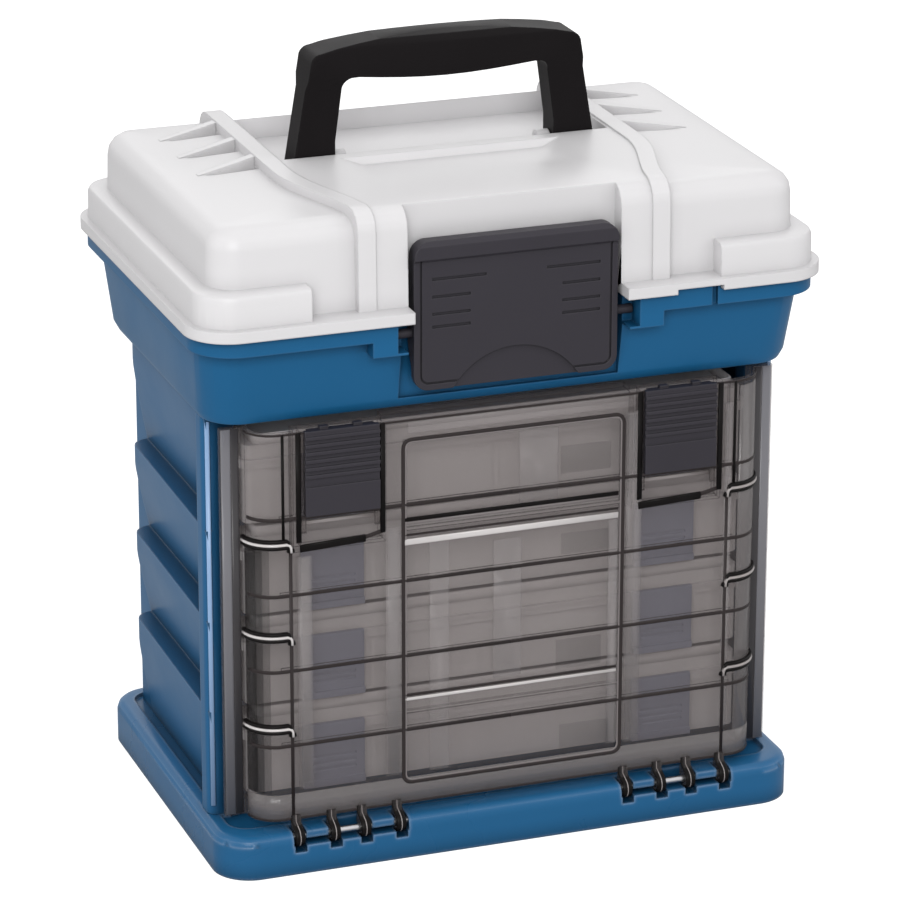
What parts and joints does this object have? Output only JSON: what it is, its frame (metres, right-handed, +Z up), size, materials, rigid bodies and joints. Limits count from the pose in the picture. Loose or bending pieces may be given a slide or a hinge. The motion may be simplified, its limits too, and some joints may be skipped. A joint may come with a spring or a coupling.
{
  "type": "fishing tackle cabinet",
  "caption": "Portable tackle cabinet with utility boxes behind a smoked drop-down door, a storage tub, a white hinged lid and a folding handle.",
  "frame": {"origin": "middle of the bounding box's footprint, at the floor under the plinth", "axes": "+Z up, -Y towards the front with the smoked door, +X to the right of someone facing the door"},
  "size_m": [0.2836, 0.197, 0.3415],
  "materials": {
    "body_blue": "satin",
    "lid_white": "satin",
    "door_smoke": "clear smoked plastic",
    "box_clear": "clear plastic",
    "box_latch_blue": "satin",
    "latch_grey": "satin",
    "handle_black": "satin",
    "pin_steel": "drawn wire"
  },
  "bodies": {
    "cabinet": {"base_plinth": "body_blue", "side_wall_left": "body_blue", "side_wall_right": "body_blue", "back_wall": "body_blue", "storage_tub": "body_blue", "door_hinge_pins": "pin_steel", "lid_hinge_pins": "pin_steel", "front_latch_pin": "latch_grey"},
    "lid": {"lid_shell": "lid_white", "handle_pivot_pins": "pin_steel"},
    "handle": {"handle": "handle_black"},
    "front_latch": {"front_latch": "latch_grey"},
    "door": {"door_panel": "door_smoke"},
    "door_latch_left": {"door_latch_left": "latch_grey"},
    "door_latch_right": {"door_latch_right": "latch_grey"},
    "box_1": {"box_1_tray": "box_clear", "box_1_dividers": "box_clear", "box_1_lid": "box_clear", "box_1_latches": "box_latch_blue"},
    "box_2": {"box_2_tray": "box_clear", "box_2_dividers": "box_clear", "box_2_lid": "box_clear", "box_2_latches": "box_latch_blue"},
    "box_3": {"box_3_tray": "box_clear", "box_3_dividers": "box_clear", "box_3_lid": "box_clear", "box_3_latches": "box_latch_blue"},
    "box_4": {"box_4_tray": "box_clear", "box_4_dividers": "box_clear", "box_4_lid": "box_clear", "box_4_latches": "box_latch_blue"}
  },
  "joints": [
    {"name": "door_hinge", "type": "hinge", "parent": "cabinet", "child": "door", "pos_m": [0, -0.0905, 0.0159], "axis": [1, 0, 0], "range_deg": [0, 94]},
    {"name": "lid_hinge", "type": "hinge", "parent": "cabinet", "child": "lid", "pos_m": [0, 0.0955, 0.2435], "axis": [-1, 0, 0], "range_deg": [0, 100]},
    {"name": "handle_fold", "type": "hinge", "parent": "lid", "child": "handle", "pos_m": [0, 0.0035, 0.287], "axis": [-1, 0, 0], "range_deg": [0, 90]},
    {"name": "front_latch_tilt", "type": "hinge", "parent": "cabinet", "child": "front_latch", "pos_m": [0, -0.0866, 0.236], "axis": [1, 0, 0], "range_deg": [0, 15]},
    {"name": "door_latch_left_slide", "type": "slide", "parent": "door", "child": "door_latch_left", "axis": [0, 0, -1], "range_m": [0, 0.008]},
    {"name": "door_latch_right_slide", "type": "slide", "parent": "door", "child": "door_latch_right", "axis": [0, 0, -1], "range_m": [0, 0.008]},
    {"name": "box_1_slide", "type": "slide", "parent": "cabinet", "child": "box_1", "axis": [0, -1, 0], "range_m": [0, 0.024]},
    {"name": "box_2_slide", "type": "slide", "parent": "cabinet", "child": "box_2", "axis": [0, -1, 0], "range_m": [0, 0.09]},
    {"name": "box_3_slide", "type": "slide", "parent": "cabinet", "child": "box_3", "axis": [0, -1, 0], "range_m": [0, 0.09]},
    {"name": "box_4_slide", "type": "slide", "parent": "cabinet", "child": "box_4", "axis": [0, -1, 0], "range_m": [0, 0.09]}
  ],
  "couplings": [
    {"joint": "box_1_slide", "follows": "door_hinge", "m_per_rad": 0.014629},
    {"joint": "box_2_slide", "follows": "door_hinge", "m_per_rad": 0.054858},
    {"joint": "box_3_slide", "follows": "door_hinge", "m_per_rad": 0.054858},
    {"joint": "box_4_slide", "follows": "door_hinge", "m_per_rad": 0.054858}
  ]
}
